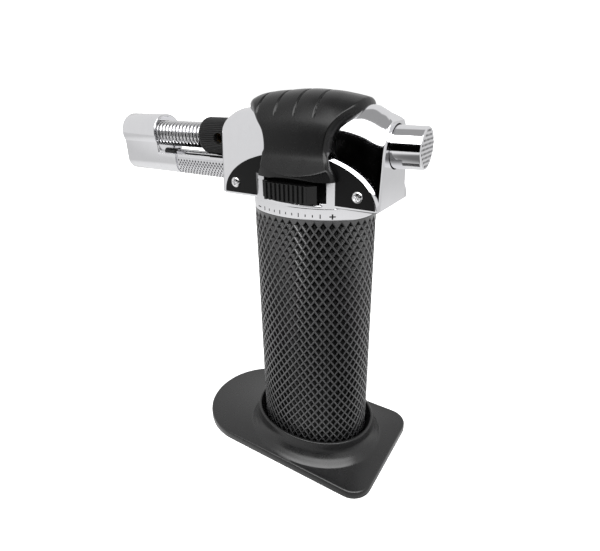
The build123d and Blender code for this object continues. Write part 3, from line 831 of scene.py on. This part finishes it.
def under_saddle(z_out, y_out):
    """The point of the head or cheek that the saddle lies on, for a point of its outer section."""
    cheek_y, cheek_top, step_top, arch_z0 = 14.7, 137.0, 139.0, 143.5
    if z_out < cheek_top:
        return cheek_y, z_out
    if z_out < step_top:
        t = smooth((z_out - cheek_top) / (step_top - cheek_top))
        return cheek_y + (HEAD_HALF - cheek_y) * t, z_out
    if z_out < arch_z0:
        t = smooth((z_out - step_top) / (arch_z0 - step_top))
        return HEAD_HALF - 0.25 * t, z_out - 0.6 * t
    arch_half, arch_rise, arch_foot = 10.75, 10.2, 142.9
    angle = math.atan2(z_out - arch_foot, y_out)
    return arch_half * math.cos(angle), arch_foot + arch_rise * math.sin(angle)


def saddle_sink(x, y, z):
    """How far the outside dips at a point: the grooves, and the faint waves that they lie in."""
    wave = math.cos(math.pi * (x - GROOVE_X[0]) / GROOVE_PITCH) ** 4
    valley = wave * smooth((x + 27.0) / 4.0) * smooth((17.0 - x) / 4.0)
    sink = 0.05 * valley * smooth((z - 149.0) / 4.0)
    for groove_x in GROOVE_X:
        near = 1 - smooth(abs(x - groove_x) / 0.5)
        above_end = 1 - smooth((y - 12.0) / 1.0)
        sink += 0.6 * near * above_end * smooth((z - 148.0) / 2.0)
    return sink


def make_saddle():
    """Soft cover over the head, with rounded front and rear edges and a lip over the slider."""
    columns = 230
    half = smooth_path(SADDLE_SECTION, 92)
    section = [(p.x, p.y) for p in half] + [(-p.x, p.y) for p in reversed(half[:-1])]
    outer, inner = [], []
    for y, z in section:
        far, side = abs(y), (1 if y >= 0 else -1)
        front, rear = along(SADDLE_FRONT, z), along(SADDLE_REAR, z)
        in_y, in_z = under_saddle(z, far)
        high = smooth((z - 147.0) / 9.0)
        front_round, rear_round = 1.6 + 1.4 * high, 1.5
        top_share = smooth((z - 140.0) / 18.0)
        row_out, row_in = [], []
        for k in range(columns + 1):
            u = 0.5 - 0.5 * math.cos(math.pi * k / columns)
            u = 0.35 * u + 0.65 * k / columns
            x = front + (rear - front) * u
            lead = min(1.0, (x - front) / front_round)
            trail = min(1.0, (rear - x) / rear_round)
            full = (1 - round_in(1 - lead)) * (1 - round_in(1 - trail))
            out_y = min(far, 20.2 * math.sqrt(max(0.0, 1 - ((x - 1.7) / 30.6) ** 2)))
            drop = (along(SADDLE_CREST, x) - 158.4) * top_share
            out_z, low_z = z + drop, in_z + 0.35 * drop
            length = max(math.hypot(out_y - in_y, out_z - low_z), 0.01)
            share = full * max(0.0, 1 - saddle_sink(x, far, z) / length)
            row_out.append((x, side * (in_y + (out_y - in_y) * share), low_z + (out_z - low_z) * share))
            row_in.append((x, side * (in_y - 0.05), low_z - 0.05))
        outer.append(row_out)
        inner.append(row_in)
    skin = quads(outer, closed=False)
    lining = quads(inner, closed=False)
    feet = [quads([outer[k], inner[k]], closed=False) for k in (0, -1)]
    edges = [quads([[row[k] for row in outer], [row[k] for row in inner]], closed=False) for k in (0, -1)]
    shape = join(skin, lining, *feet, *edges)
    piece("saddle_cover", shape, "soft_grip", "torch", ["saddle_grip"], sharp=60)


# ---- ignition button ----

def make_button():
    """Tapered hollow cap with rows of dimples in its end."""
    x0, x1 = BUTTON_LO.x, BUTTON_HI.x
    root_r, end_r, edge, wall = BUTTON_HI.z - AXIS_Z, 7.0, 0.55, 1.1
    profile = [(x0, root_r - wall), (x0, root_r)]
    for k in range(6):
        angle = math.pi / 2 * k / 5
        profile.append((x1 - edge + edge * math.sin(angle), end_r - edge + edge * math.cos(angle)))
    profile += [(x1, 0.02), (x1 - 1.2, 0.02), (x1 - 1.2, end_r - wall)]
    body = turned(profile, 128, closed=True)
    cap = piece("button_cap", body, "chrome", "button", ["ignition_button"], sharp=40)
    pits = []
    pitch, pit_r = 1.42, 0.42
    for row in range(-4, 5):
        for column in range(-4, 5):
            y, z = column * pitch, row * pitch
            if math.hypot(y, z) < 5.9:
                pits.append(turned([(x1 - 0.7, pit_r), (x1 + 0.5, pit_r)], 14, y=y, z=AXIS_Z + z))
    cut(cap, join(*pits))
    finish_cut(cap, 30)


# ---- air ring ----

def make_air_ring():
    """Ribbed ring with a stepped front and one air hole on each side."""
    x0, x1, radius = RING_LO.x, RING_HI.x, RING_HI.z - AXIS_Z
    ribs, per_rib, depth, bore = 56, 6, 0.38, 5.08
    # x, radius and share of the ribs' depth
    levels = [(x0, 5.6, 0.0), (x0, radius - 1.2, 0.0), (x0 + 0.35, radius - 0.5, 0.3),
              (x0 + 0.9, radius - 0.1, 0.8), (x0 + 1.4, radius, 1.0), (x1 - 0.6, radius, 1.0),
              (x1 - 0.5, radius - 0.45, 0.0), (x1, radius - 0.45, 0.0), (x1, bore, 0.0), (x0, bore, 0.0)]
    rows = []
    for x, r, share in levels:
        row = []
        for k in range(ribs * per_rib):
            phase = k % per_rib
            low = 1.0 if phase in (0, 1) else (0.35 if phase in (2, 5) else 0.0)
            angle = 2 * math.pi * k / (ribs * per_rib)
            reach = r - depth * share * low
            row.append((x, reach * math.sin(angle), AXIS_Z + reach * math.cos(angle)))
        rows.append(row)
    ring = piece("air_ring_knob", quads(rows, loop=True), "ring_plastic", "air_ring", ["air_ring"])
    hole = prism(circle(2.2, 40, -41.5, AXIS_Z), -12, 12, "y")
    cut(ring, hole)
    finish_cut(ring, 32)


# ---- nozzle guard ----

def guard_outline(half, floor, top, corner=GUARD_CORNER):
    """Section of the guard's flat-sided lower part, in Y and Z, from its right edge down and up again."""
    return rounded([(half, top), (half, floor), (-half, floor), (-half, top)], [0, corner, corner, 0], 10)


def hood_outline(inset):
    """Keyhole section of the hood: a round crown over the flat-sided part."""
    half, radius = GUARD_HALF - inset, GUARD_R - inset
    crease = math.acos(half / radius)
    crown = []
    for k in range(65):
        angle = -crease + (math.pi + 2 * crease) * k / 64
        crown.append((radius * math.cos(angle), AXIS_Z + radius * math.sin(angle)))
    lower = guard_outline(half, GUARD_LO.z + inset, crown[0][1], GUARD_CORNER - inset)[1:-1]
    return crown + list(reversed(lower))


def make_guard():
    """Hood with rolled edges, and the trough-shaped arm in two lengths, the rear one thinner."""
    x0, rear, x_end = GUARD_LO.x + 0.5, -79.0, GUARD_HI.x
    wall, edge, arm_wall = 0.9, 0.35, 1.8
    rows = []
    for x, inset in ((x0 + edge, 0.0), (x0 + 0.1, 0.1), (x0, edge), (x0, wall - 0.1), (rear - 0.05, wall),
                     (rear, wall - 0.15), (rear, 0.12), (rear - 0.12, 0.0)):
        rows.append([(x, y, z) for y, z in hood_outline(inset)])
    piece("guard_hood", quads(list(reversed(rows)), loop=True), "chrome", "guard", ["nozzle_guard"], sharp=30)
    outside = guard_outline(GUARD_HALF, GUARD_LO.z, ARM_TOP)
    inside = guard_outline(GUARD_HALF - arm_wall, GUARD_LO.z + arm_wall, ARM_TOP, GUARD_CORNER - arm_wall)
    # The trough's inside takes the dark copy of the plating: painted shade
    trough = ("guard_painted_shade", range(len(outside), len(outside) + len(inside) - 1))
    front_arm = prism(outside + list(reversed(inside)), rear - 0.3, THUMB_LO.x - 1.0, "x")
    piece("guard_arm_front", front_arm, "chrome", "guard", bevel=0.15, sharp=50, second=trough)
    bed = THUMB_DEPTH
    outside = guard_outline(GUARD_HALF - bed, GUARD_LO.z + bed, ARM_TOP, GUARD_CORNER - bed)
    rear_arm = prism(outside + list(reversed(inside)), THUMB_LO.x - 1.05, x_end, "x")
    piece("guard_arm_rear", rear_arm, "chrome", "guard", bevel=0.12, sharp=50, second=trough)


def make_thumb_grip():
    """Diamond knurled sleeve round the arm, open at the top."""
    x0, x1, top = THUMB_LO.x, THUMB_HI.x, THUMB_HI.z
    depth, pitch_x, pitch_s = 0.35, 0.85, 0.95
    columns = int((x1 - x0) / pitch_x)

    def track(inset):
        points = guard_outline(GUARD_HALF - inset, GUARD_LO.z + inset, top, GUARD_CORNER - inset)
        return [Vector(p) for p in points]

    rows = int(path_lengths(track(0.0))[-1] / pitch_s) // 2 * 2
    insets = (0.0, depth, THUMB_DEPTH - 0.03)
    raised, low, bottom = (spaced(track(inset), rows + 1, closed=False) for inset in insets)

    def place(column, row, level):
        p = low[row].lerp(raised[row], level)
        return x0 + (x1 - x0) * column / columns, p.x, p.y

    relief, pit_faces = diamonds(place, columns, rows, False, [(0.0, 1.0), (0.4, 1.0), (0.7, 0.0)])
    xs = [x0 + (x1 - x0) * k / columns for k in range(columns + 1)]
    back = quads([[(x, p.x, p.y) for x in xs] for p in bottom], closed=False)
    sides = [quads([[(x, p.x, p.y) for p in raised], [(x, p.x, p.y) for p in bottom]], closed=False)
             for x in (x0, x1)]
    tops = [quads([[(x, raised[k].x, raised[k].y) for x in xs], [(x, bottom[k].x, bottom[k].y) for x in xs]],
                  closed=False) for k in (0, -1)]
    # The knurl's pits take the dark copy of the plating: painted shade
    piece("thumb_knurl", join(relief, back, *sides, *tops), "chrome_knurl", "guard", ["guard_thumb_grip"],
          sharp=15, second=("guard_painted_shade", pit_faces))


make_stand()
make_grip()
make_head()
make_cheeks()
make_screws()
make_neck()
make_slider()
make_saddle()
make_button()
make_air_ring()
make_guard()
make_thumb_grip()


# ---- camera, light and floor ----

# Surroundings: angles in radians from -Y towards +X, heights as the sine of the elevation
OPENING_AZIMUTH = (-0.56, 0.75)
STRIP_AZIMUTH = (-0.56, 1.35)
OPENING_TOP, STRIP_TOP, EDGE = 0.44, 0.90, 0.06
WALL_LEVEL, OPENING_LEVEL, STRIP_LEVEL, CEILING_LEVEL = 0.76, 0.0, 5.0, 0.35
SEEN_WALL = 1.05                       # backdrop behind the torch, as the camera sees it

# Floor, in metres: bright near the torch, dimmer far off, with one patch dark in reflections
FLOOR_NEAR_Y, FLOOR_REACH = -0.55, 3.0
FLOOR_POOL, FLOOR_FAR, POOL_EDGE = 0.72, 0.45, (0.25, 0.70)
DARK_SPOT, DARK_SPOT_EDGE = (0.10, -0.17, 0.0), (0.10, 0.22)
SEEN_GLOW, SEEN_SHADE, REFLECTED_SHADE = 0.6, 0.9, 0.08


def make_camera():
    """A view from the front right and above, slightly rolled."""
    azimuth, pitch, roll = math.radians(32.795), math.radians(24.173), math.radians(-1.007)
    flat = math.cos(pitch)
    ahead = Vector((-math.sin(azimuth) * flat, math.cos(azimuth) * flat, -math.sin(pitch)))
    level = Vector((math.cos(azimuth), math.sin(azimuth), 0))
    above = level.cross(ahead)
    right = level * math.cos(roll) + above * math.sin(roll)
    up = above * math.cos(roll) - level * math.sin(roll)
    data = bpy.data.cameras.new("camera")
    data.sensor_width = 36.0
    data.lens = 25.6425
    data.clip_start = 0.01
    camera = bpy.data.objects.new("camera", data)
    place = Vector((85.265, -143.66, 159.951)) * MM
    turn = Matrix((right, up, -ahead)).transposed()
    camera.matrix_world = Matrix.Translation(place) @ turn.to_4x4()
    bpy.context.scene.collection.objects.link(camera)
    bpy.context.scene.camera = camera


def ramp_up(tree, source, low, high):
    """0 below low, 1 above high, smooth between."""
    node = tree.nodes.new("ShaderNodeMapRange")
    node.interpolation_type = "SMOOTHSTEP"
    node.inputs["From Min"].default_value = low
    node.inputs["From Max"].default_value = high
    tree.links.new(source, node.inputs["Value"])
    return node.outputs[0]


def calculate(tree, operation, first, second):
    """A sum or product of two sockets or numbers."""
    node = tree.nodes.new("ShaderNodeMath")
    node.operation = operation
    for socket, value in zip(node.inputs, (first, second)):
        if isinstance(value, (int, float)):
            socket.default_value = value
        else:
            tree.links.new(value, socket)
    return node.outputs[0]


def toward(tree, base, level, mask):
    """base, moved to level where mask is 1."""
    step = calculate(tree, "MULTIPLY", calculate(tree, "SUBTRACT", level, base), mask)
    return calculate(tree, "ADD", base, step)


def between(tree, angle, low, high):
    """1 where angle is between low and high, with soft edges."""
    above = ramp_up(tree, angle, low - EDGE, low + EDGE)
    below = ramp_up(tree, calculate(tree, "MULTIPLY", angle, -1.0), -high - EDGE, -high + EDGE)
    return calculate(tree, "MULTIPLY", above, below)


def make_surroundings():
    """A white room with a dark opening behind the camera, a strip light above it and a dim ceiling."""
    world = bpy.data.worlds.new("studio")
    bpy.context.scene.world = world
    world.use_nodes = True
    tree = world.node_tree
    split = tree.nodes.new("ShaderNodeSeparateXYZ")
    tree.links.new(tree.nodes.new("ShaderNodeTexCoord").outputs["Generated"], split.inputs[0])
    x, y, z = split.outputs
    azimuth = calculate(tree, "ARCTAN2", x, calculate(tree, "MULTIPLY", y, -1.0))
    front = between(tree, azimuth, *OPENING_AZIMUTH)
    above_opening = ramp_up(tree, z, OPENING_TOP - 0.03, OPENING_TOP + 0.03)
    above_strip = ramp_up(tree, z, STRIP_TOP - 0.03, STRIP_TOP + 0.03)
    level = toward(tree, WALL_LEVEL, OPENING_LEVEL, front)
    strip = toward(tree, WALL_LEVEL, STRIP_LEVEL, between(tree, azimuth, *STRIP_AZIMUTH))
    level = toward(tree, level, strip, above_opening)
    level = toward(tree, level, CEILING_LEVEL, above_strip)
    seen = tree.nodes.new("ShaderNodeLightPath").outputs["Is Camera Ray"]
    level = toward(tree, level, SEEN_WALL, seen)
    tree.links.new(level, tree.nodes["Background"].inputs["Strength"])
    tree.nodes["Background"].inputs["Color"].default_value = (1, 1, 1, 1)


def make_floor():
    """Pale plain floor just under the stand."""
    mesh = bpy.data.meshes.new("floor")
    corners = [(-FLOOR_REACH, FLOOR_NEAR_Y, 0), (FLOOR_REACH, FLOOR_NEAR_Y, 0),
               (FLOOR_REACH, FLOOR_REACH, 0), (-FLOOR_REACH, FLOOR_REACH, 0)]
    mesh.from_pydata(corners, [], [(0, 1, 2, 3)])
    made, shader, where = node_material("floor", (0.9, 0.9, 0.9), 0.8)
    shader.inputs["Emission Color"].default_value = (1, 1, 1, 1)
    tree = made.node_tree
    length = tree.nodes.new("ShaderNodeVectorMath")
    length.operation = "LENGTH"
    tree.links.new(where.outputs["Object"], length.inputs[0])
    pool = ramp_up(tree, length.outputs["Value"], *POOL_EDGE)
    seen = tree.nodes.new("ShaderNodeLightPath").outputs["Is Camera Ray"]
    away = tree.nodes.new("ShaderNodeVectorMath")
    away.operation = "DISTANCE"
    tree.links.new(where.outputs["Object"], away.inputs[0])
    away.inputs[1].default_value = DARK_SPOT
    glow = toward(tree, FLOOR_POOL, FLOOR_FAR, pool)
    glow = calculate(tree, "MULTIPLY", glow, ramp_up(tree, away.outputs["Value"], *DARK_SPOT_EDGE))
    glow = toward(tree, glow, SEEN_GLOW, seen)
    tree.links.new(glow, shader.inputs["Emission Strength"])
    shade = tree.nodes.new("ShaderNodeCombineColor")
    for channel in shade.inputs:
        tree.links.new(toward(tree, REFLECTED_SHADE, SEEN_SHADE, seen), channel)
    tree.links.new(shade.outputs[0], shader.inputs["Base Color"])
    mesh.materials.append(made)
    floor = bpy.data.objects.new("floor", mesh)
    floor.location.z = -0.0002
    bpy.context.scene.collection.objects.link(floor)


def make_studio():
    """Plain colours, the surroundings and the floor."""
    bpy.context.scene.view_settings.view_transform = "Standard"
    make_surroundings()
    make_floor()


make_camera()
make_studio()
